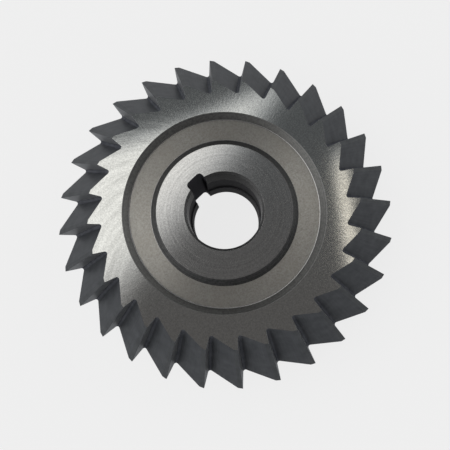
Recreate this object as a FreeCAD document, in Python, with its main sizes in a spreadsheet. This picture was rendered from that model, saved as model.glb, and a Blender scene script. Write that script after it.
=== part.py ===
"""Double angle milling cutter: one solid disc of high-speed steel.

The blank is turned: a rim that comes to a 90 degree point, flat side faces, a recess round
each hub and a bore relieved in its middle. A keyway runs through the bore. The teeth are
milled with straight V gashes from both sides, which meet on the middle plane, and a narrow
land is ground behind each cutting edge. Millimetres, the bore's axis on Z, the origin in
the middle of the bore, one tooth tip and the keyway on +Y.
"""
import FreeCAD, Part
import os
import Sketcher

NODE = "milling_cutter"

# Driving dimensions, in millimetres and degrees
SIZES = {
    "outside_diameter": 152.4,
    "width": 38.1,
    "cone_angle": 45.0,
    "bore_diameter": 31.75,
    "bore_chamfer": 0.9,
    "bore_land": 11.1,
    "bore_relief": 0.6,
    "keyway_width": 7.94,
    "keyway_depth": 3.3,
    "keyway_corner": 1.6,
    "hub_diameter": 57.0,
    "recess_diameter": 85.4,
    "recess_depth": 2.5,
    "recess_wall_angle": 45.0,
    "tooth_count": 28,
    "rake_angle": 7.0,
    "rake_height": 8.6,
    "gash_taper": 3.6,
    "gash_skew": 2.2,
    "gash_corner": 1.0,
    "land_width": 2.2,
    "land_relief": 14.0,
    "grinding_stock": 0.2,
    "overrun": 0.25,
}

# Places worked out from the driving dimensions, as expressions
TIP = "(Sizes.outside_diameter / 2)"
SIDE = "(Sizes.width / 2)"
BORE = "(Sizes.bore_diameter / 2)"
HUB = "(Sizes.hub_diameter / 2)"
RECESS = "(Sizes.recess_diameter / 2)"
RECESS_FLOOR = f"({SIDE} - Sizes.recess_depth)"
RECESS_WALL = "(Sizes.recess_depth / tan(Sizes.recess_wall_angle))"
PITCH = "(360 / Sizes.tooth_count)"
RIM = f"({TIP} + Sizes.grinding_stock)"
RIM_SLOPE = "tan(Sizes.cone_angle)"
GASH_SLOPE = "tan(Sizes.cone_angle - Sizes.gash_taper)"

document = FreeCAD.newDocument("DoubleAngleCutter")


def make_sheet():
    """The driving dimensions, one row each, with the name as the value's alias."""
    sheet = document.addObject("Spreadsheet::Sheet", "Sizes")
    for row, (alias, value) in enumerate(SIZES.items(), start=1):
        sheet.set(f"A{row}", alias.replace("_", " "))
        sheet.set(f"B{row}", str(value))
        sheet.setAlias(f"B{row}", alias)
    document.recompute()
    return sheet


sheet = make_sheet()
body = document.addObject("PartDesign::Body", "Cutter")
body.Label = NODE
body.Placement = FreeCAD.Placement()


def origin_feature(role):
    """One of the body's own origin planes or axes."""
    return next(item for item in body.Origin.OriginFeatures if item.Role == role)


def make_outline(name, plane, corners):
    """A closed sketch on an origin plane, each corner held by two expressions."""
    sketch = body.newObject("Sketcher::SketchObject", name)
    sketch.AttachmentSupport = (origin_feature(plane), [""])
    sketch.MapMode = "FlatFace"
    points = [FreeCAD.Vector(sheet.evalExpression(x), sheet.evalExpression(y), 0) for x, y in corners]
    count = len(points)
    for index, point in enumerate(points):
        sketch.addGeometry(Part.LineSegment(point, points[(index + 1) % count]), False)
    for index in range(count):
        sketch.addConstraint(Sketcher.Constraint("Coincident", index, 2, (index + 1) % count, 1))
    for index, (point, (x, y)) in enumerate(zip(points, corners)):
        for kind, start, expression in (("DistanceX", point.x, x), ("DistanceY", point.y, y)):
            held = sketch.addConstraint(Sketcher.Constraint(kind, -1, 1, index, 1, start))
            sketch.setExpression(f"Constraints[{held}]", expression)
    document.recompute()
    return sketch


def round_corner(sketch, corner, radius):
    """Rounds one corner of an outline to a radius from the sheet."""
    sketch.fillet(corner, 1, SIZES[radius], True, True)
    arc = next(index for index in range(sketch.GeometryCount - 1, -1, -1)
               if isinstance(sketch.Geometry[index], Part.ArcOfCircle))
    held = sketch.addConstraint(Sketcher.Constraint("Radius", arc, SIZES[radius]))
    sketch.setExpression(f"Constraints[{held}]", f"Sizes.{radius}")
    document.recompute()


def make_blank():
    """The turned disc, revolved from a section that is the same above and below.

    Its rim stands proud by the stock that grinding the lands takes off.
    """
    upper = [
        (f"{BORE} + Sizes.bore_relief", f"{SIDE} - Sizes.bore_land"),
        (BORE, f"{SIDE} - Sizes.bore_land"),
        (BORE, f"{SIDE} - Sizes.bore_chamfer"),
        (f"{BORE} + Sizes.bore_chamfer", SIDE),
        (HUB, SIDE),
        (f"{HUB} + {RECESS_WALL}", RECESS_FLOOR),
        (f"{RECESS} - {RECESS_WALL}", RECESS_FLOOR),
        (RECESS, SIDE),
        (f"{RIM} - {SIDE} * {RIM_SLOPE}", SIDE),
    ]
    lower = [(x, f"-({y})") for x, y in reversed(upper)]
    section = make_outline("BlankSection", "XZ_Plane", upper + [(RIM, "0")] + lower)
    blank = body.newObject("PartDesign::Revolution", "Blank")
    blank.Profile = section
    blank.ReferenceAxis = (section, ["V_Axis"])
    blank.Angle = 360
    document.recompute()
    return blank


def make_cut(name, sketch, slope=None):
    """A pocket both ways from the middle plane, straight or along a slanting direction."""
    cut = body.newObject("PartDesign::Pocket", name)
    cut.Profile = sketch
    cut.SideType = "Symmetric"
    cut.AlongSketchNormal = True
    cut.setExpression("Length", "Sizes.width * (1 + Sizes.overrun)")
    if slope:
        cut.UseCustomVector = True
        cut.Direction = FreeCAD.Vector(*(sheet.evalExpression(part) for part in slope))
        for axis, part in zip("xyz", slope):
            cut.setExpression(f"Direction.{axis}", part)
    document.recompute()
    return cut


def make_keyway():
    """A straight slot through the bore's wall, with rounded bottom corners."""
    half = "Sizes.keyway_width / 2"
    bottom = f"{BORE} + Sizes.keyway_depth"
    corners = [(f"-{half}", "0"), (half, "0"), (half, bottom), (f"-{half}", bottom)]
    sketch = make_outline("KeywaySection", "XY_Plane", corners)
    round_corner(sketch, 2, "keyway_corner")
    round_corner(sketch, 3, "keyway_corner")
    return make_cut("Keyway", sketch)


def make_gash():
    """The V between the tooth on +Y and the next one, milled straight along its bottom.

    One wall is the cutting face of the +Y tooth. The other rises to the heel of the next
    tooth's land. Both walls run on past the rim.
    """
    bottom_x = "(-Sizes.rake_height * sin(Sizes.rake_angle))"
    bottom_y = f"({TIP} - Sizes.rake_height * cos(Sizes.rake_angle))"
    heel_x = f"(Sizes.land_width * cos({PITCH} - Sizes.land_relief) - {TIP} * sin({PITCH}))"
    heel_y = f"({TIP} * cos({PITCH}) + Sizes.land_width * sin({PITCH} - Sizes.land_relief))"
    corners = [
        (bottom_x, bottom_y),
        (f"-{bottom_x} * Sizes.overrun", f"{TIP} + ({TIP} - {bottom_y}) * Sizes.overrun"),
        (f"{heel_x} + ({heel_x} - {bottom_x}) * Sizes.overrun",
         f"{heel_y} + ({heel_y} - {bottom_y}) * Sizes.overrun"),
    ]
    sketch = make_outline("GashSection", "XY_Plane", corners)
    round_corner(sketch, 0, "gash_corner")
    return make_cut("Gash", sketch, (f"{GASH_SLOPE} * tan(Sizes.gash_skew)", f"-{GASH_SLOPE}", "1"))


def make_land():
    """The relief ground behind the cutting edge of the +Y tooth, straight along the edge."""
    length = "Sizes.land_width * (1 + Sizes.overrun)"
    clear = "Sizes.rake_height * Sizes.overrun"
    corners = [
        ("0", TIP),
        (f"{length} * cos(Sizes.land_relief)", f"{TIP} - {length} * sin(Sizes.land_relief)"),
        (f"{length} * cos(Sizes.land_relief)", f"{TIP} + {clear}"),
        ("-Sizes.land_width * Sizes.overrun", f"{TIP} + {clear}"),
    ]
    sketch = make_outline("LandSection", "XY_Plane", corners)
    drift = f"{GASH_SLOPE} * tan(Sizes.gash_skew) + ({GASH_SLOPE} - {RIM_SLOPE}) * tan(Sizes.rake_angle)"
    return make_cut("Land", sketch, (drift, f"-{RIM_SLOPE}", "1"))


def make_teeth(cuts):
    """The same cuts from the other side, and all of them round the rim."""
    other_side = body.newObject("PartDesign::Mirrored", "OtherSide")
    other_side.MirrorPlane = (origin_feature("XY_Plane"), [""])
    round_rim = body.newObject("PartDesign::PolarPattern", "RoundRim")
    round_rim.Axis = (origin_feature("Z_Axis"), [""])
    round_rim.Angle = 360
    round_rim.setExpression("Occurrences", "Sizes.tooth_count")
    teeth = body.newObject("PartDesign::MultiTransform", "Teeth")
    teeth.Originals = cuts
    teeth.Transformations = [other_side, round_rim]
    body.Tip = teeth
    document.recompute()
    return teeth


def check(feature, before):
    """Stops if a cut took nothing away."""
    if not feature.Shape.Volume < before:
        raise RuntimeError(f"{feature.Label} removed no material")
    return feature.Shape.Volume


blank = make_blank()
keyway = make_keyway()
left = check(keyway, blank.Shape.Volume)
gash = make_gash()
left = check(gash, left)
land = make_land()
left = check(land, left)
teeth = make_teeth([gash, land])
check(teeth, left)

for item in document.Objects:
    if "Invalid" in item.State or "Error" in item.State:
        raise RuntimeError(f"{item.Label} failed: {item.State}")
if body.Shape.isNull() or not body.Shape.isValid() or len(body.Shape.Solids) != 1:
    raise RuntimeError(f"{body.Label} is not one valid solid")

os.makedirs("parts", exist_ok=True)
body.Shape.exportStep(f"parts/{body.Label}.step")
print(f"{body.Label}: {body.Shape.Volume / 1000:.1f} cm3, {len(body.Shape.Faces)} faces")
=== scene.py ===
"""A double angle milling cutter lying on a pale table, seen from just above.

The solid gives the place and the outer sizes. The visible skin is built here in one piece from the
same sizes, with the edge breaks and tool-nose corners that turning, milling and grinding leave, and
with a finish of its own on each kind of surface.
"""
import math
import bpy
import numpy as np
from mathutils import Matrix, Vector


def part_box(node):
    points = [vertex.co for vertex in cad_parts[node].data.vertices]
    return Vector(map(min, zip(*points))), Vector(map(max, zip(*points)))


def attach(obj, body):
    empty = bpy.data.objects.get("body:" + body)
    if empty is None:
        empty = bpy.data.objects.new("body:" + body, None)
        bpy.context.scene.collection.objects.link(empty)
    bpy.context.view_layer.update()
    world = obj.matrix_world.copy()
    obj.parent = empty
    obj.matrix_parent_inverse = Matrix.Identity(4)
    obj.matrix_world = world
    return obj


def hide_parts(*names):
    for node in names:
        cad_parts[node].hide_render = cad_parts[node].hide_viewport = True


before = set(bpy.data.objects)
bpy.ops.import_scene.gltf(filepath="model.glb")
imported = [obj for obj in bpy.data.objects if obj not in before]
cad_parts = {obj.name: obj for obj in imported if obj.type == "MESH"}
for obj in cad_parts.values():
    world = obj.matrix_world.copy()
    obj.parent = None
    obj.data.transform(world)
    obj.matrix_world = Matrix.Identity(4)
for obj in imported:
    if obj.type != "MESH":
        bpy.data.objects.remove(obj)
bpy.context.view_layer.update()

MM = 0.001
NODE = "milling_cutter"
node_low, node_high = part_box(NODE)

# The cutter's sizes, in millimetres and degrees
TIP_RADIUS = node_high.x / MM
HALF_WIDTH = node_high.z / MM
TEETH = 28
CONE_ANGLE = 45.0
RAKE_ANGLE = 7.0
RAKE_HEIGHT = 8.6
GASH_TAPER = 3.6
GASH_SKEW = 2.2
GASH_CORNER = 1.0
LAND_WIDTH = 2.2
LAND_RELIEF = 14.0
RECESS_RADIUS = 42.7
RECESS_DEPTH = 2.5
HUB_RADIUS = 28.5
BORE_RADIUS = 15.875
BORE_CHAMFER = 0.9
BORE_LAND = 11.1
BORE_RELIEF = 0.6
KEYWAY_HALF_WIDTH = 3.97
KEYWAY_DEPTH = 3.3
KEYWAY_CORNER = 1.6

# Edge breaks and the corners that a tool's nose leaves, in millimetres
TOOTH_BREAK = 0.10
FACE_BREAK = 0.05
TURNED_BREAK = 0.18
BORE_BREAK = 0.12
TOOL_NOSE = 0.45
# How much further down the bore the shoulder of its relief ends than it starts, as a boring tool leaves it
SHOULDER_SLANT = 0.12

# Steps of the skin round one tooth, in the order they run: tip, cutting face, gash corner, back, heel, land
TIP_STEPS, FACE_STEPS, CORNER_STEPS, BACK_STEPS, HEEL_STEPS, LAND_STEPS = 2, 4, 6, 8, 2, 2
TOOTH_STEPS = TIP_STEPS + FACE_STEPS + CORNER_STEPS + BACK_STEPS + HEEL_STEPS + LAND_STEPS
ROUND_STEPS = TEETH * TOOTH_STEPS
# Steps of half the keyway, from the middle of its floor to the bore
FLOOR_STEPS, KEY_CORNER_STEPS, WALL_STEPS = 10, 7, 7
KEYWAY_STEPS = FLOOR_STEPS + KEY_CORNER_STEPS + WALL_STEPS

# Where the rings of the flat faces change from one spacing of points to another
TOOTHED_RING = 49.4
PLAIN_RING = 46.0
HUB_RING = 24.0
KEYED_RING = 21.0


def turned(points, degrees):
    """Points in a plane, turned about its origin."""
    c, s = math.cos(math.radians(degrees)), math.sin(math.radians(degrees))
    return np.asarray(points) @ np.array([[c, s], [-s, c]])


def crossing(line_a, line_b):
    """Where two lines cross, each given as a point and a direction."""
    (p, u), (q, v) = line_a, line_b
    along = np.linalg.solve(np.column_stack([u, -v]), q - p)
    return p + along[0] * u


def corner_arc(before, corner, after, radius, steps):
    """Points along the arc that rounds a corner, both ends included."""
    u = (corner - before) / np.linalg.norm(corner - before)
    v = (after - corner) / np.linalg.norm(after - corner)
    turn = math.atan2(u[0] * v[1] - u[1] * v[0], u @ v)
    side = math.copysign(1, turn)
    spoke = side * radius * np.array([u[1], -u[0]])
    centre = corner - u * radius * math.tan(abs(turn) / 2) - spoke
    return [centre + turned(spoke, math.degrees(turn) * step / steps) for step in range(steps + 1)]


def between(start, end, steps):
    """The points strictly between two others."""
    return [start + (end - start) * step / steps for step in range(1, steps)]


def tooth_outline(height, inset=0.0):
    """The toothed outline at a height over the middle plane, drawn in by an inset.

    Each wall of a gash and each land keeps its direction at every height and only moves, because
    all of them are milled or ground in straight passes.
    """
    gash_slope = math.tan(math.radians(CONE_ANGLE - GASH_TAPER))
    rim_slope = math.tan(math.radians(CONE_ANGLE))
    skew = gash_slope * math.tan(math.radians(GASH_SKEW))
    drift = skew + (gash_slope - rim_slope) * math.tan(math.radians(RAKE_ANGLE))
    pitch = 360 / TEETH

    tip = np.array([0.0, TIP_RADIUS])
    down_face = turned([0.0, -1.0], -RAKE_ANGLE)
    bottom = tip + RAKE_HEIGHT * down_face
    along_land = turned([-1.0, 0.0], -LAND_RELIEF)
    next_heel = turned(tip - LAND_WIDTH * along_land, pitch)
    up_back = (next_heel - bottom) / np.linalg.norm(next_heel - bottom)

    def line(point, direction, move):
        inward = np.array([-direction[1], direction[0]])
        return point + np.array(move) * height + inward * inset, direction

    face = line(tip, down_face, (skew, -gash_slope))
    back = line(bottom, up_back, (skew, -gash_slope))
    land = line(tip, along_land, (drift, -rim_slope))
    next_land = (turned(land[0], pitch), turned(land[1], pitch))
    tip_corner = crossing(land, face)
    deep_corner = crossing(face, back)
    heel_corner = crossing(back, next_land)
    next_tip = turned(tip_corner, pitch)

    tip_arc = corner_arc(tip_corner - land[1], tip_corner, deep_corner, TOOTH_BREAK - inset, TIP_STEPS)
    deep_arc = corner_arc(tip_corner, deep_corner, heel_corner, GASH_CORNER + inset, CORNER_STEPS)
    heel_arc = corner_arc(deep_corner, heel_corner, next_tip, TOOTH_BREAK - inset, HEEL_STEPS)
    tooth = (tip_arc + between(tip_arc[-1], deep_arc[0], FACE_STEPS)
             + deep_arc + between(deep_arc[-1], heel_arc[0], BACK_STEPS)
             + heel_arc + between(heel_arc[-1], turned(tip_arc[0], pitch), LAND_STEPS))
    return np.concatenate([turned(tooth, pitch * number) for number in range(TEETH)])


def keyed_outline(radius, grow=0.0):
    """The bore's outline with the keyway in it, from the middle of the keyway's floor round."""
    half, corner = KEYWAY_HALF_WIDTH + grow, KEYWAY_CORNER + grow
    floor = BORE_RADIUS + KEYWAY_DEPTH + grow
    foot = math.sqrt(radius ** 2 - half ** 2)
    middle, turn, mouth = np.array([0.0, floor]), np.array([-half, floor]), np.array([-half, foot])
    arc = corner_arc(middle, turn, mouth, corner, KEY_CORNER_STEPS)
    left = ([middle] + between(middle, arc[0], FLOOR_STEPS) + arc
            + between(arc[-1], mouth, WALL_STEPS) + [mouth])
    start = math.degrees(math.atan2(foot, -half))
    open_steps = ROUND_STEPS - 2 * KEYWAY_STEPS
    sweep = 360 - 2 * (start - 90)
    wall = [turned([radius, 0.0], start + sweep * step / open_steps) for step in range(1, open_steps)]
    right = [point * (-1, 1) for point in reversed(left[1:])]
    return np.array(left + wall + right)


def ring(radius, angles):
    return np.column_stack([radius * np.cos(angles), radius * np.sin(angles)])


def rounded_profile(corners, start, end, steps=3):
    """Radius and height along a turned profile whose corners are given with their rounding."""
    places = [start] + [place for place, _ in corners] + [end]
    profile = []
    for index, (_, radius) in enumerate(corners):
        before, corner, after = (np.array(place) for place in places[index:index + 3])
        profile += corner_arc(before, corner, after, radius, steps)
    return profile


def upper_loops():
    """The loops of the upper half, from the rim's middle to the bore's, each with what follows it."""
    top = HALF_WIDTH
    floor = top - RECESS_DEPTH
    flat = tooth_outline(top, FACE_BREAK)
    toothed = np.unwrap(np.arctan2(flat[:, 1], flat[:, 0]))
    even = np.arange(ROUND_STEPS) * 2 * math.pi / ROUND_STEPS
    plain = even + np.mean(toothed - even)

    loops = [
        (tooth_outline(TOOTH_BREAK), TOOTH_BREAK, "teeth"),
        (tooth_outline(top - FACE_BREAK), top - FACE_BREAK, "teeth"),
        (tooth_outline(top, FACE_BREAK * 0.3), top - FACE_BREAK * 0.3, "teeth"),
        (flat, top, "side"),
        (ring(TOOTHED_RING, toothed), top, "side"),
        (ring(PLAIN_RING, plain), top, "side"),
    ]

    recess = rounded_profile(
        [((RECESS_RADIUS, top), TURNED_BREAK), ((RECESS_RADIUS - RECESS_DEPTH, floor), TOOL_NOSE),
         ((HUB_RADIUS + RECESS_DEPTH, floor), TOOL_NOSE), ((HUB_RADIUS, top), TURNED_BREAK)],
        (PLAIN_RING, top), (HUB_RING, top))
    kinds = (["turned edge"] * 3 + ["recess wall"] + ["turned corner"] * 3 + ["recess floor"]
             + ["turned corner"] + ["hub wall"] * 3 + ["turned edge"] * 3 + ["hub"])
    for (radius, height), kind in zip(recess, kinds):
        loops.append((ring(radius, plain), height, kind))

    mouth = keyed_outline(BORE_RADIUS + BORE_CHAMFER)
    keyed = np.unwrap(np.arctan2(mouth[:, 1], mouth[:, 0]))
    quarter = math.pi / 2 - keyed[0]
    loops.append((ring(HUB_RING, plain), top, "hub"))
    loops.append((ring(KEYED_RING, keyed + quarter), top, "hub"))
    bore = rounded_profile(
        [((BORE_RADIUS + BORE_CHAMFER, top), BORE_BREAK), ((BORE_RADIUS, top - BORE_CHAMFER), BORE_BREAK),
         ((BORE_RADIUS, top - BORE_LAND), BORE_BREAK),
         ((BORE_RADIUS + BORE_RELIEF, top - BORE_LAND - SHOULDER_SLANT), BORE_BREAK)],
        (KEYED_RING, top), (BORE_RADIUS + BORE_RELIEF, 0.0))
    kinds = ["hub"] + ["bore chamfer"] * 4 + ["bore land"] * 5 + ["bore step"] * 3 + ["bore relief"] * 3
    for (radius, height), kind in zip(bore, kinds):
        grow = max(0.0, BORE_BREAK - (top - height)) * 0.6
        loops.append((keyed_outline(radius, grow), height, kind))
    return loops


def mirrored(loops):
    """The same loops under the middle plane, in the order that carries on round the section.

    The lower land takes the relief's finish in place of the land's, so the bore shows darker below the middle
    plane than above it.
    """
    kinds = ["bore relief" if kind == "bore land" else kind for _, _, kind in loops]
    following = kinds[-2::-1] + [kinds[0]]
    return [(outline, -height, kind) for (outline, height, _), kind in zip(reversed(loops), following)]


def tooth_kind(step):
    """What the skin is at a step round one tooth."""
    if step < TIP_STEPS:
        return "land"
    if step < TIP_STEPS + FACE_STEPS:
        return "cutting face"
    if step < TIP_STEPS + FACE_STEPS + CORNER_STEPS:
        return "gash corner"
    if step < TIP_STEPS + FACE_STEPS + CORNER_STEPS + BACK_STEPS:
        return "gash back"
    return "land"


def face_kind(kind, step):
    """What the skin is after a loop, at a step round it."""
    if kind == "teeth":
        return tooth_kind(step % TOOTH_STEPS)
    if kind.startswith("bore") and not KEYWAY_STEPS <= step < ROUND_STEPS - KEYWAY_STEPS:
        return "keyway"
    return kind


def corner_normals(points):
    """A normal for every corner of every quad, so flat faces stay flat right up to their edge breaks.

    Each corner follows the quads round it that turn away by less than 50 degrees, the largest most.
    """
    here = np.array(points).reshape(-1, ROUND_STEPS, 3)
    nearby, there = np.roll(here, -1, 1), np.roll(here, -1, 0)
    spread = np.cross(np.roll(nearby, -1, 0) - here, there - nearby)
    area = np.linalg.norm(spread, axis=2, keepdims=True)
    flat = spread / np.maximum(area, 1e-16)
    pull = flat * area ** 2
    corners = []
    for down, round_ in ((0, 0), (0, 1), (1, 1), (1, 0)):
        total = np.zeros_like(flat)
        for move in ((down - 1, round_ - 1), (down - 1, round_), (down, round_ - 1), (down, round_)):
            back = (-move[0], -move[1])
            other = np.roll(flat, back, (0, 1))
            smooth = np.sum(flat * other, axis=2, keepdims=True) > math.cos(math.radians(50))
            total += np.where(smooth, np.roll(pull, back, (0, 1)), 0.0)
        length = np.linalg.norm(total, axis=2, keepdims=True)
        corners.append(total / np.maximum(length, 1e-30))
    return np.stack(corners, axis=2).reshape(-1, 3)


def build_skin(finishes):
    """The cutter's whole skin as one closed mesh of quads, each with its kind's finish."""
    half = upper_loops()
    rim = (tooth_outline(TOOTH_BREAK * 0.4), 0.0, "teeth")
    bore = (keyed_outline(BORE_RADIUS + BORE_RELIEF), 0.0, "bore relief")
    loops = [rim] + half + [bore] + mirrored(half)

    points = [(x * MM, y * MM, height * MM) for outline, height, _ in loops for x, y in outline]
    quads, kinds = [], []
    for number, (_, _, kind) in enumerate(loops):
        here, there = number * ROUND_STEPS, (number + 1) % len(loops) * ROUND_STEPS
        for step in range(ROUND_STEPS):
            nearby = (step + 1) % ROUND_STEPS
            quads.append((here + step, here + nearby, there + nearby, there + step))
            kinds.append(face_kind(kind, step))

    mesh = bpy.data.meshes.new("cutter_skin")
    mesh.from_pydata(points, [], quads)
    names = list(finishes)
    for name in names:
        mesh.materials.append(finishes[name])
    mesh.polygons.foreach_set("material_index", [names.index(kind) for kind in kinds])
    mesh.polygons.foreach_set("use_smooth", [True] * len(quads))
    mesh.update()
    mesh.normals_split_custom_set(corner_normals(points).tolist())
    skin = bpy.data.objects.new("cutter_skin", mesh)
    bpy.context.scene.collection.objects.link(skin)
    return skin


def linear(code):
    """An sRGB hex colour as linear red, green, blue and alpha."""
    parts = [int(code[place:place + 2], 16) / 255 for place in (1, 3, 5)]
    return [part / 12.92 if part <= 0.04045 else ((part + 0.055) / 1.055) ** 2.4 for part in parts] + [1.0]


def add(tree, kind, settings=None, **links):
    """A node with its settings, its input values and the outputs that feed it."""
    node = tree.nodes.new(kind)
    for name, value in (settings or {}).items():
        setattr(node, name, value)
    for name, value in links.items():
        key = int(name[1:]) if name[0] == "_" and name[1:].isdigit() else name.replace("_", " ")
        if isinstance(value, bpy.types.NodeSocket):
            tree.links.new(value, node.inputs[key])
        else:
            node.inputs[key].default_value = value
    return node


def bearing(azimuth):
    return math.cos(math.radians(azimuth)), math.sin(math.radians(azimuth)), 0.0


# Round distances on the flat faces, in millimetres, at which their patterns are worked out
SIDE_MIDDLE = 50.0
HUB_MIDDLE = 23.0
TOOTH_MIDDLE = 60.0

# The side face's slow waves: the bearing they lie towards, and how far out that way they start and are full
WAVES_WAY = 122.0
WAVES_START = 20.0
WAVES_FULL = 42.0


def steel(name, colour, roughness, metallic=1.0):
    """A steel finish to start from: its material, its tree, its shader and its places in millimetres."""
    material = bpy.data.materials.new(name)
    material.use_nodes = True
    tree = material.node_tree
    tree.nodes.clear()
    shader = add(tree, "ShaderNodeBsdfPrincipled", Base_Color=linear(colour), Metallic=metallic,
                 Roughness=roughness)
    add(tree, "ShaderNodeOutputMaterial", Surface=shader.outputs["BSDF"])
    place = add(tree, "ShaderNodeTexCoord").outputs["Object"]
    scaled = add(tree, "ShaderNodeVectorMath", {"operation": "SCALE"}, Vector=place, Scale=1 / MM)
    return material, tree, shader, scaled.outputs["Vector"]


def feed(tree, shader, name, output):
    tree.links.new(output, shader.inputs[name])


def turn_grain(tree, shader, strength):
    """The fine rings of turning spread what they mirror towards and away from the axis."""
    round_axis = add(tree, "ShaderNodeTangent", {"direction_type": "RADIAL", "axis": "Z"})
    tree.links.new(round_axis.outputs["Tangent"], shader.inputs["Tangent"])
    shader.inputs["Anisotropic"].default_value = strength
    shader.inputs["Anisotropic Rotation"].default_value = 0.25


def arcs(tree, place, angle, spacing, length, middle):
    """A place along the arcs that a grinding wheel leaves, which cross the rings of a face at an angle.

    One unit is the spacing across the arcs at the middle distance, and the length along them.
    """
    flat = add(tree, "ShaderNodeVectorMath", {"operation": "MULTIPLY"}, _0=place, _1=(1, 1, 0))
    radius = add(tree, "ShaderNodeVectorMath", {"operation": "LENGTH"}, _0=flat.outputs["Vector"])
    log = add(tree, "ShaderNodeMath", {"operation": "LOGARITHM"}, _0=radius.outputs["Value"], _1=math.e)
    wind = -1 / math.tan(math.radians(angle))
    turn = add(tree, "ShaderNodeMath", {"operation": "MULTIPLY"}, _0=log.outputs[0], _1=wind)
    wound = add(tree, "ShaderNodeVectorRotate", {"rotation_type": "Z_AXIS"},
                Vector=flat.outputs["Vector"], Angle=turn.outputs[0])
    spoke = add(tree, "ShaderNodeVectorMath", {"operation": "NORMALIZE"}, _0=wound.outputs["Vector"])
    slant = math.sin(math.radians(angle))
    across = add(tree, "ShaderNodeVectorMath", {"operation": "SCALE"},
                 Vector=spoke.outputs["Vector"], Scale=middle * abs(slant) / spacing)
    along = add(tree, "ShaderNodeMath", {"operation": "MULTIPLY"},
                _0=radius.outputs["Value"], _1=1 / abs(slant) / length)
    lift = add(tree, "ShaderNodeCombineXYZ", Z=along.outputs[0])
    both = add(tree, "ShaderNodeVectorMath", {"operation": "ADD"},
               _0=across.outputs["Vector"], _1=lift.outputs["Vector"])
    return both.outputs["Vector"]


def make_side_finish():
    """Surface ground high-speed steel.

    The wheel leaves fine scratches that run out to the rim and, on one side, slow waves that lean
    across the rings. Both break up the edges of what the face mirrors, and its grain makes it glitter.
    Real scratches are about 0.05 mm apart, too fine to show, so they are drawn 0.6 mm apart.
    """
    material, tree, shader, place = steel("surface_ground_high_speed_steel", "#b2b2ae", 0.12)
    scratches = add(tree, "ShaderNodeTexNoise", Vector=arcs(tree, place, -85.0, 0.6, 2.6, SIDE_MIDDLE),
                    Scale=1.0, Detail=2.0, Roughness=0.6)
    waves = add(tree, "ShaderNodeTexNoise", Vector=arcs(tree, place, 44.0, 2.0, 18.0, SIDE_MIDDLE),
                Scale=1.0, Detail=2.0, Roughness=0.6)
    toward = add(tree, "ShaderNodeVectorMath", {"operation": "DOT_PRODUCT"}, _0=place, _1=bearing(WAVES_WAY))
    there = add(tree, "ShaderNodeMapRange", {"interpolation_type": "SMOOTHSTEP"},
                Value=toward.outputs["Value"], From_Min=WAVES_START, From_Max=WAVES_FULL)
    centred = add(tree, "ShaderNodeMath", {"operation": "SUBTRACT"}, _0=waves.outputs["Fac"], _1=0.5)
    leaning = add(tree, "ShaderNodeMath", {"operation": "MULTIPLY"},
                  _0=centred.outputs[0], _1=there.outputs[0])
    grain = add(tree, "ShaderNodeTexNoise", Vector=place, Scale=1 / 0.6, Detail=2.0, Roughness=0.7)
    mixed = add(tree, "ShaderNodeMath", {"operation": "MULTIPLY_ADD"},
                _0=leaning.outputs[0], _1=0.7, _2=grain.outputs["Fac"])
    tone = add(tree, "ShaderNodeMapRange", Value=mixed.outputs[0], From_Min=0.25, From_Max=0.75)
    metal = add(tree, "ShaderNodeMix", {"data_type": "RGBA"}, Factor=tone.outputs[0],
                _6=linear("#9c9c98"), _7=linear("#c2c2bd"))
    feed(tree, shader, "Base Color", metal.outputs[2])
    matt = add(tree, "ShaderNodeMapRange", Value=scratches.outputs["Fac"], From_Min=0.3, From_Max=0.7,
               To_Min=0.07, To_Max=0.10)
    feed(tree, shader, "Roughness", matt.outputs[0])
    broad = add(tree, "ShaderNodeBump", Height=leaning.outputs[0], Distance=0.005 * MM)
    fine = add(tree, "ShaderNodeBump", Height=scratches.outputs["Fac"], Distance=0.005 * MM,
               Normal=broad.outputs["Normal"])
    pitted = add(tree, "ShaderNodeBump", Height=grain.outputs["Fac"], Distance=0.003 * MM,
                 Normal=fine.outputs["Normal"])
    feed(tree, shader, "Normal", pitted.outputs["Normal"])
    return material


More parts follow.
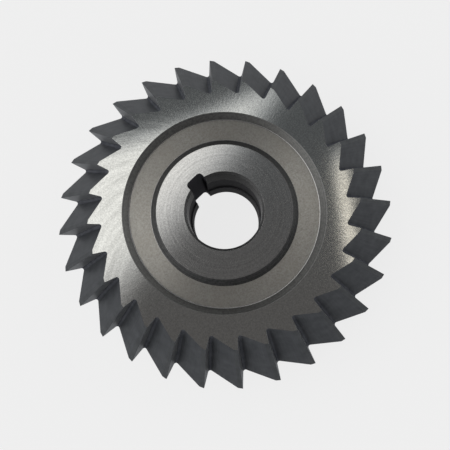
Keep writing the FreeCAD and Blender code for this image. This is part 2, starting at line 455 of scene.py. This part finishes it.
def make_hub_finish():
    """Face ground high-speed steel round the bore.

    The wheel's scratches run almost round the bore, so its mirrored lights have ragged, ringed edges.
    Real scratches are about 0.05 mm apart, so they are drawn 0.7 mm apart to show, with soft rings of
    tone 0.9 mm apart under them.
    """
    material, tree, shader, place = steel("face_ground_high_speed_steel", "#b0b0ad", 0.12)
    scratches = add(tree, "ShaderNodeTexNoise", Vector=arcs(tree, place, 8.0, 0.7, 9.0, HUB_MIDDLE),
                    Scale=1.0, Detail=2.0, Roughness=0.6)
    grain = add(tree, "ShaderNodeTexNoise", Vector=place, Scale=1 / 0.6, Detail=2.0, Roughness=0.7)
    flat = add(tree, "ShaderNodeVectorMath", {"operation": "MULTIPLY"}, _0=place, _1=(1, 1, 0))
    radius = add(tree, "ShaderNodeVectorMath", {"operation": "LENGTH"}, _0=flat.outputs["Vector"])
    rings = add(tree, "ShaderNodeTexNoise", {"noise_dimensions": "1D"}, W=radius.outputs["Value"],
                Scale=1 / 0.9, Detail=2.0)
    mixed = add(tree, "ShaderNodeMath", {"operation": "MULTIPLY_ADD"},
                _0=rings.outputs["Fac"], _1=0.35, _2=grain.outputs["Fac"])
    tone = add(tree, "ShaderNodeMapRange", Value=mixed.outputs[0], From_Min=0.43, From_Max=0.92)
    metal = add(tree, "ShaderNodeMix", {"data_type": "RGBA"}, Factor=tone.outputs[0],
                _6=linear("#9b9a97"), _7=linear("#bfbeba"))
    feed(tree, shader, "Base Color", metal.outputs[2])
    matt = add(tree, "ShaderNodeMapRange", Value=scratches.outputs["Fac"], From_Min=0.3, From_Max=0.7,
               To_Min=0.10, To_Max=0.15)
    feed(tree, shader, "Roughness", matt.outputs[0])
    scratched = add(tree, "ShaderNodeBump", Height=scratches.outputs["Fac"], Distance=0.0035 * MM)
    pitted = add(tree, "ShaderNodeBump", Height=grain.outputs["Fac"], Distance=0.003 * MM,
                 Normal=scratched.outputs["Normal"])
    feed(tree, shader, "Normal", pitted.outputs["Normal"])
    return material


def make_recess_finish():
    """Fine turned high-speed steel, dulled in hardening: an even matt grey with a warm cast.

    Its rings are too fine to see, and show only in how the light lies across them. The grain of the
    dull film is about 0.1 mm, and is drawn 0.7 mm across to show.
    """
    material, tree, shader, place = steel("fine_turned_and_dulled_high_speed_steel", "#9f9c96", 0.42)
    turn_grain(tree, shader, 0.85)
    film = add(tree, "ShaderNodeTexNoise", Vector=place, Scale=1 / 0.7, Detail=3.0, Roughness=0.7)
    cloud = add(tree, "ShaderNodeTexNoise", Vector=place, Scale=0.09, Detail=2.0)
    tone = add(tree, "ShaderNodeMapRange", Value=film.outputs["Fac"], From_Min=0.3, From_Max=0.7)
    metal = add(tree, "ShaderNodeMix", {"data_type": "RGBA"}, Factor=tone.outputs[0],
                _6=linear("#8f8c85"), _7=linear("#b1aea7"))
    shade = add(tree, "ShaderNodeMapRange", Value=cloud.outputs["Fac"],
                From_Min=0.4, From_Max=0.7, To_Max=0.4)
    clouded = add(tree, "ShaderNodeMix", {"data_type": "RGBA"}, Factor=shade.outputs[0],
                  _6=metal.outputs[2], _7=linear("#9c978e"))
    feed(tree, shader, "Base Color", clouded.outputs[2])
    grained = add(tree, "ShaderNodeBump", Height=film.outputs["Fac"], Distance=0.018 * MM)
    feed(tree, shader, "Normal", grained.outputs["Normal"])
    return material


def make_turned_finish(name, colour, pale, roughness, run, edge_tint=1.0, grain_strength=0.9, bare=1.0):
    """High-speed steel as the turning tool left it, under a thin dark film from hardening.

    The tool leaves rings a feed of about 0.1 mm apart, drawn 0.5 mm apart to show. The run is the way
    the tool moved across the section, out from the axis and up from the middle. What isn't bare metal
    is a soft black scale.
    """
    material, tree, shader, place = steel(name, colour, roughness, bare)
    if bare < 1:
        shader.inputs["Specular IOR Level"].default_value = 0.0
    turn_grain(tree, shader, grain_strength)
    shader.inputs["Specular Tint"].default_value = (edge_tint, edge_tint, edge_tint, 1.0)
    flat = add(tree, "ShaderNodeVectorMath", {"operation": "MULTIPLY"}, _0=place, _1=(1, 1, 0))
    radius = add(tree, "ShaderNodeVectorMath", {"operation": "LENGTH"}, _0=flat.outputs["Vector"])
    height = add(tree, "ShaderNodeSeparateXYZ", Vector=place)
    above = add(tree, "ShaderNodeMath", {"operation": "ABSOLUTE"}, _0=height.outputs["Z"])
    out = add(tree, "ShaderNodeMath", {"operation": "MULTIPLY"}, _0=radius.outputs["Value"], _1=run[0])
    along = add(tree, "ShaderNodeMath", {"operation": "MULTIPLY_ADD"},
                _0=above.outputs[0], _1=run[1], _2=out.outputs[0])
    rings = add(tree, "ShaderNodeTexNoise", {"noise_dimensions": "1D"}, W=along.outputs[0],
                Scale=1 / 0.5, Detail=2.0)
    grain = add(tree, "ShaderNodeTexNoise", Vector=place, Scale=1.2, Detail=3.0)
    mixed = add(tree, "ShaderNodeMath", {"operation": "MULTIPLY"},
                _0=rings.outputs["Fac"], _1=grain.outputs["Fac"])
    tone = add(tree, "ShaderNodeMapRange", Value=mixed.outputs[0], From_Min=0.15, From_Max=0.35)
    metal = add(tree, "ShaderNodeMix", {"data_type": "RGBA"}, Factor=tone.outputs[0],
                _6=linear(colour), _7=linear(pale))
    feed(tree, shader, "Base Color", metal.outputs[2])
    ringed = add(tree, "ShaderNodeBump", Height=rings.outputs["Fac"], Distance=0.012 * MM)
    feed(tree, shader, "Normal", ringed.outputs["Normal"])
    return material


def make_tooth_finish(name, colour, pale, roughness, bare, edge_tint):
    """Milled and steam oxidised high-speed steel: a smooth blue-black film over the cutter's fine marks.

    The film soaks up what a bare metal would mirror at a low angle, so the tint of its edges is dark,
    and what isn't bare metal scatters light softly. The marks run down each gash, and are drawn 0.6 mm
    apart in place of 0.1 mm to show.
    """
    material, tree, shader, place = steel(name, colour, roughness, bare)
    shader.inputs["Specular IOR Level"].default_value = 0.0
    shader.inputs["Specular Tint"].default_value = edge_tint
    marks = add(tree, "ShaderNodeTexNoise", Vector=arcs(tree, place, 88.0, 0.6, 12.0, TOOTH_MIDDLE),
                Scale=1.0, Detail=2.0)
    film = add(tree, "ShaderNodeTexNoise", Vector=place, Scale=0.25, Detail=3.0)
    mixed = add(tree, "ShaderNodeMath", {"operation": "MULTIPLY_ADD"},
                _0=marks.outputs["Fac"], _1=0.5, _2=film.outputs["Fac"])
    tone = add(tree, "ShaderNodeMapRange", Value=mixed.outputs[0], From_Min=0.5, From_Max=1.0)
    metal = add(tree, "ShaderNodeMix", {"data_type": "RGBA"}, Factor=tone.outputs[0],
                _6=linear(colour), _7=linear(pale))
    feed(tree, shader, "Base Color", metal.outputs[2])
    milled = add(tree, "ShaderNodeBump", Height=marks.outputs["Fac"], Distance=0.008 * MM)
    feed(tree, shader, "Normal", milled.outputs["Normal"])
    return material


finishes = {
    "side": make_side_finish(),
    "hub": make_hub_finish(),
    "recess floor": make_recess_finish(),
    "recess wall": make_turned_finish("turned_high_speed_steel_recess_wall", "#555554", "#6c6c6a", 0.32,
                                      (1, 1)),
    "hub wall": make_turned_finish("turned_high_speed_steel_hub_wall", "#424344", "#5c5c5c", 0.34, (1, -1)),
    "turned edge": make_turned_finish("burnished_turned_edge", "#6c6c6b", "#80807e", 0.28, (1, 0),
                                      grain_strength=0.3),
    "turned corner": make_turned_finish("burnished_turned_corner", "#8c8b89", "#9c9b99", 0.16, (1, 0),
                                        grain_strength=0.3),
    "gash back": make_tooth_finish("milled_and_steam_oxidised_gash_back", "#414346", "#4e5053", 0.38, 0.45,
                                   (0.88, 0.885, 0.89, 1.0)),
    "gash corner": make_tooth_finish("milled_and_steam_oxidised_gash_corner", "#43454a", "#595b60", 0.6, 0.3,
                                     (0.6, 0.6, 0.62, 1.0)),
    # Painted reflection: the cutting face is the same milled, oxidised steel as the back, painted paler to
    # stand in for the bright table it mirrors.
    "cutting face": make_tooth_finish("milled_and_steam_oxidised_cutting_face", "#7b7d80", "#898b8d",
                                      0.42, 0.6, (0.55, 0.55, 0.56, 1.0)),
    "land": make_tooth_finish("ground_and_oxidised_land", "#454749", "#525456", 0.38, 0.45,
                              (0.88, 0.885, 0.89, 1.0)),
    "bore chamfer": make_turned_finish("turned_bore_chamfer", "#424242", "#525252", 0.3, (1, 1)),
    "bore land": make_turned_finish("black_scaled_bore_land", "#1c1c1d", "#363636", 0.22, (0, 1),
                                    edge_tint=0.42),
    "bore step": make_turned_finish("turned_bore_step", "#626264", "#727274", 0.5, (1, 0), bare=0.2),
    # The relief's dark finish also goes on the lower land, which makes the bore darker below the middle
    # plane.
    "bore relief": make_turned_finish("dark_bore_relief_and_lower_land", "#2c2c2e", "#424244", 0.28, (0, 1),
                                      edge_tint=0.42, bare=0.7),
    "keyway": make_turned_finish("black_scaled_broached_keyway", "#404044", "#4c4c50", 0.45, (0, 1),
                                 edge_tint=0.5, bare=0.4),
}
skin = build_skin(finishes)
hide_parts(NODE)
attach(skin, "root")

# The studio: how bright each part of it is, where 1 is white
PALE_ROOM = 1.0
DARK_CEILING = 0.172
PANEL = 1.7
STRIP = 2.5

# How much of the table's paint gives way to plain pale light where it is seen or mirrored
TABLE_GLOW = 0.88

# Where the studio's parts are. A bearing is in degrees round from +X, and a slope is sideways over upwards.
# The camera's foot is the slope from the top face's middle to the camera, which the face mirrors back
CAMERA_FOOT = (0.1006, 0.1423)
PANEL_WAY, PANEL_EDGE = 96.6, 0.084
GAP_WAY, GAP_TIP, GAP_SOFTNESS, GAP_CURVE = 66.4, 0.214, 0.032, 0.5
STRIP_WAY, STRIP_OFFSET, STRIP_SOFTNESS = -38.6, 0.2585, 0.019
STRIP_RUN, STRIP_MIDDLE, STRIP_FULL, STRIP_END = 51.4, 0.136, 0.09, 0.175
WALL_WAY, WALL_TOP_WAY, WALL_TOP_TILT = 151.4, 126.4, 0.22

# The windows in the walls: bearing, height and reach in degrees, and brightness
WINDOWS = [(151.4, 42, 38, PANEL), (96.4, 55, 38, PANEL), (-30.6, 14, 24, 1.25)]


def make_floor():
    """A plain pale table, far wider than the cutter, that keeps its soft shadow."""
    reach, level = 6.0, node_low.z
    corners = [(-reach, -reach, level), (reach, -reach, level), (reach, reach, level), (-reach, reach, level)]
    mesh = bpy.data.meshes.new("floor")
    mesh.from_pydata(corners, [], [(0, 1, 2, 3)])
    floor = bpy.data.objects.new("floor", mesh)
    bpy.context.scene.collection.objects.link(floor)
    material = bpy.data.materials.new("matt_painted_table")
    material.use_nodes = True
    tree = material.node_tree
    tree.nodes.clear()
    paint = add(tree, "ShaderNodeBsdfDiffuse", Color=linear("#e6e6e6"))
    glow = add(tree, "ShaderNodeEmission", Color=linear("#f4f4f4"), Strength=1.0)
    path = add(tree, "ShaderNodeLightPath")
    seen = add(tree, "ShaderNodeMath", {"operation": "ADD"},
               _0=path.outputs["Is Camera Ray"], _1=path.outputs["Is Glossy Ray"])
    shown = add(tree, "ShaderNodeMath", {"operation": "ADD"},
                _0=seen.outputs[0], _1=path.outputs["Is Transmission Ray"])
    share = add(tree, "ShaderNodeMath", {"operation": "MULTIPLY", "use_clamp": True},
                _0=shown.outputs[0], _1=TABLE_GLOW)
    surface = add(tree, "ShaderNodeMixShader", _0=share.outputs[0],
                  _1=paint.outputs["BSDF"], _2=glow.outputs["Emission"])
    add(tree, "ShaderNodeOutputMaterial", Surface=surface.outputs["Shader"])
    mesh.materials.append(material)


def foot_slope(azimuth):
    """How far the camera's foot lies towards a bearing, as a slope."""
    return CAMERA_FOOT[0] * bearing(azimuth)[0] + CAMERA_FOOT[1] * bearing(azimuth)[1]


def make_studio():
    """The room round the cutter: a dark ceiling with one wide panel and one strip lamp, and pale walls.

    The panel has a rounded gap in it. The walls are highest and brightest towards the panel, and three
    windows in them light the teeth from that side more than from the other. Places on the ceiling are
    slopes, so the flat faces mirror the panel's straight edge as a straight line across them.
    """
    world = bpy.data.worlds.new("studio")
    bpy.context.scene.world = world
    world.use_nodes = True
    tree = world.node_tree
    tree.nodes.clear()
    way = add(tree, "ShaderNodeTexCoord").outputs["Generated"]
    parts = add(tree, "ShaderNodeSeparateXYZ", Vector=way)
    up = add(tree, "ShaderNodeMath", {"operation": "MAXIMUM"}, _0=parts.outputs["Z"], _1=0.02)
    over = add(tree, "ShaderNodeMath", {"operation": "DIVIDE"}, _0=1.0, _1=up.outputs[0])
    slope = add(tree, "ShaderNodeVectorMath", {"operation": "SCALE"}, Vector=way, Scale=over.outputs[0])
    slope = slope.outputs["Vector"]

    side = add(tree, "ShaderNodeVectorMath", {"operation": "DOT_PRODUCT"}, _0=slope, _1=bearing(PANEL_WAY))
    by = add(tree, "ShaderNodeVectorMath", {"operation": "DOT_PRODUCT"}, _0=slope, _1=bearing(PANEL_WAY + 90))
    softness = add(tree, "ShaderNodeMath", {"operation": "MULTIPLY_ADD"},
                   _0=by.outputs["Value"], _1=0.05, _2=0.06)
    past = add(tree, "ShaderNodeMath", {"operation": "SUBTRACT"},
               _0=side.outputs["Value"], _1=foot_slope(PANEL_WAY) + PANEL_EDGE)
    share = add(tree, "ShaderNodeMath", {"operation": "DIVIDE"}, _0=past.outputs[0], _1=softness.outputs[0])
    panel = add(tree, "ShaderNodeMapRange", {"interpolation_type": "SMOOTHSTEP"}, Value=share.outputs[0],
                From_Min=-1.0, From_Max=1.0)
    deep = add(tree, "ShaderNodeVectorMath", {"operation": "DOT_PRODUCT"}, _0=slope, _1=bearing(GAP_WAY))
    wide = add(tree, "ShaderNodeVectorMath", {"operation": "DOT_PRODUCT"}, _0=slope, _1=bearing(GAP_WAY - 90))
    aside = add(tree, "ShaderNodeMath", {"operation": "SUBTRACT"},
                _0=wide.outputs["Value"], _1=foot_slope(GAP_WAY - 90))
    square = add(tree, "ShaderNodeMath", {"operation": "POWER"}, _0=aside.outputs[0], _1=2.0)
    curve = add(tree, "ShaderNodeMath", {"operation": "MULTIPLY"}, _0=square.outputs[0], _1=GAP_CURVE)
    inside = add(tree, "ShaderNodeMath", {"operation": "SUBTRACT"},
                 _0=deep.outputs["Value"], _1=curve.outputs[0])
    tip = foot_slope(GAP_WAY) + GAP_TIP
    clear = add(tree, "ShaderNodeMapRange", {"interpolation_type": "SMOOTHSTEP"}, Value=inside.outputs[0],
                From_Min=tip - GAP_SOFTNESS, From_Max=tip + GAP_SOFTNESS, To_Min=1.0, To_Max=0.0)
    lit = add(tree, "ShaderNodeMath", {"operation": "MULTIPLY"}, _0=panel.outputs[0], _1=clear.outputs[0])
    ceiling = add(tree, "ShaderNodeMapRange", Value=lit.outputs[0], To_Min=DARK_CEILING, To_Max=PANEL)

    beside = add(tree, "ShaderNodeVectorMath", {"operation": "DOT_PRODUCT"}, _0=slope, _1=bearing(STRIP_WAY))
    off = add(tree, "ShaderNodeMath", {"operation": "SUBTRACT"}, _0=beside.outputs["Value"], _1=STRIP_OFFSET)
    offset = add(tree, "ShaderNodeMath", {"operation": "ABSOLUTE"}, _0=off.outputs[0])
    narrow = add(tree, "ShaderNodeMapRange", {"interpolation_type": "SMOOTHSTEP"}, Value=offset.outputs[0],
                 From_Min=0.0, From_Max=STRIP_SOFTNESS, To_Min=1.0, To_Max=0.0)
    along = add(tree, "ShaderNodeVectorMath", {"operation": "DOT_PRODUCT"}, _0=slope, _1=bearing(STRIP_RUN))
    from_middle = add(tree, "ShaderNodeMath", {"operation": "SUBTRACT"},
                      _0=along.outputs["Value"], _1=STRIP_MIDDLE)
    reached = add(tree, "ShaderNodeMath", {"operation": "ABSOLUTE"}, _0=from_middle.outputs[0])
    short = add(tree, "ShaderNodeMapRange", {"interpolation_type": "SMOOTHSTEP"}, Value=reached.outputs[0],
                From_Min=STRIP_FULL, From_Max=STRIP_END, To_Min=1.0, To_Max=0.0)
    strip = add(tree, "ShaderNodeMath", {"operation": "MULTIPLY"}, _0=narrow.outputs[0], _1=short.outputs[0])
    overhead = add(tree, "ShaderNodeMix", {"data_type": "FLOAT"}, _0=strip.outputs[0],
                   _2=ceiling.outputs[0], _3=STRIP)

    near_panel = add(tree, "ShaderNodeVectorMath", {"operation": "DOT_PRODUCT"},
                     _0=way, _1=bearing(WALL_TOP_WAY))
    sunk = add(tree, "ShaderNodeMath", {"operation": "MULTIPLY_ADD"},
               _0=near_panel.outputs["Value"], _1=-WALL_TOP_TILT, _2=parts.outputs["Z"])
    low = add(tree, "ShaderNodeMapRange", {"interpolation_type": "SMOOTHSTEP"}, Value=sunk.outputs[0],
              From_Min=0.55, From_Max=0.75, To_Min=1.0, To_Max=0.0)
    toward = add(tree, "ShaderNodeVectorMath", {"operation": "DOT_PRODUCT"}, _0=way, _1=bearing(WALL_WAY))
    aslant = add(tree, "ShaderNodeMath", {"operation": "ABSOLUTE"}, _0=toward.outputs["Value"])
    wall = add(tree, "ShaderNodeMapRange", Value=aslant.outputs[0], From_Min=0.2, From_Max=1.0,
               To_Min=PALE_ROOM * 0.5, To_Max=PALE_ROOM)
    around = wall.outputs[0]
    for azimuth, height, reach, level in WINDOWS:
        tilt = math.radians(height)
        way_out = Vector(bearing(azimuth)) * math.cos(tilt) + Vector((0, 0, math.sin(tilt)))
        facing = add(tree, "ShaderNodeVectorMath", {"operation": "DOT_PRODUCT"}, _0=way, _1=way_out)
        window = add(tree, "ShaderNodeMapRange", {"interpolation_type": "SMOOTHSTEP"},
                     Value=facing.outputs["Value"], From_Min=math.cos(math.radians(reach)),
                     From_Max=math.cos(math.radians(reach / 2)))
        around = add(tree, "ShaderNodeMix", {"data_type": "FLOAT"}, _0=window.outputs[0],
                     _2=around, _3=level).outputs[0]
    room = add(tree, "ShaderNodeMix", {"data_type": "FLOAT"}, _0=low.outputs[0],
               _2=overhead.outputs[0], _3=around)
    cool = add(tree, "ShaderNodeMapRange", Value=along.outputs["Value"], From_Min=-0.05, From_Max=0.35)
    dark = add(tree, "ShaderNodeMix", {"data_type": "RGBA"}, Factor=cool.outputs[0],
               _6=linear("#fffcfe"), _7=linear("#f0f7ff"))
    white = add(tree, "ShaderNodeMix", {"data_type": "RGBA"}, Factor=lit.outputs[0],
                _6=dark.outputs[2], _7=linear("#ffffff"))
    tint = add(tree, "ShaderNodeMix", {"data_type": "RGBA"}, Factor=strip.outputs[0],
               _6=white.outputs[2], _7=linear("#fff7e8"))
    cast = add(tree, "ShaderNodeMix", {"data_type": "RGBA"}, Factor=low.outputs[0],
               _6=tint.outputs[2], _7=linear("#ffffff"))
    light = add(tree, "ShaderNodeBackground", Color=cast.outputs[2], Strength=room.outputs[0])
    add(tree, "ShaderNodeOutputWorld", Surface=light.outputs["Background"])


# The camera, as fitted to the photograph's tooth tips, rings and bore edges
PHOTO_SIDE = 450
FOCAL_PIXELS = 458.92
AXIS_PIXEL = (238.29, 235.31)
CAMERA_PLACE = Vector((-18.96, -26.82, 207.57))
CAMERA_TURN = (6.693, -0.141, -44.517)


def make_camera():
    data = bpy.data.cameras.new("camera")
    data.sensor_width = 36.0
    data.lens = FOCAL_PIXELS / PHOTO_SIDE * data.sensor_width
    data.shift_x = (PHOTO_SIDE / 2 - AXIS_PIXEL[0]) / PHOTO_SIDE
    data.shift_y = (AXIS_PIXEL[1] - PHOTO_SIDE / 2) / PHOTO_SIDE
    data.clip_start, data.clip_end = 0.01, 50.0
    camera = bpy.data.objects.new("camera", data)
    camera.location = CAMERA_PLACE * MM
    camera.rotation_euler = [math.radians(angle) for angle in CAMERA_TURN]
    bpy.context.scene.collection.objects.link(camera)
    bpy.context.scene.camera = camera


make_camera()
make_floor()
make_studio()
bpy.context.scene.view_settings.view_transform = "Standard"
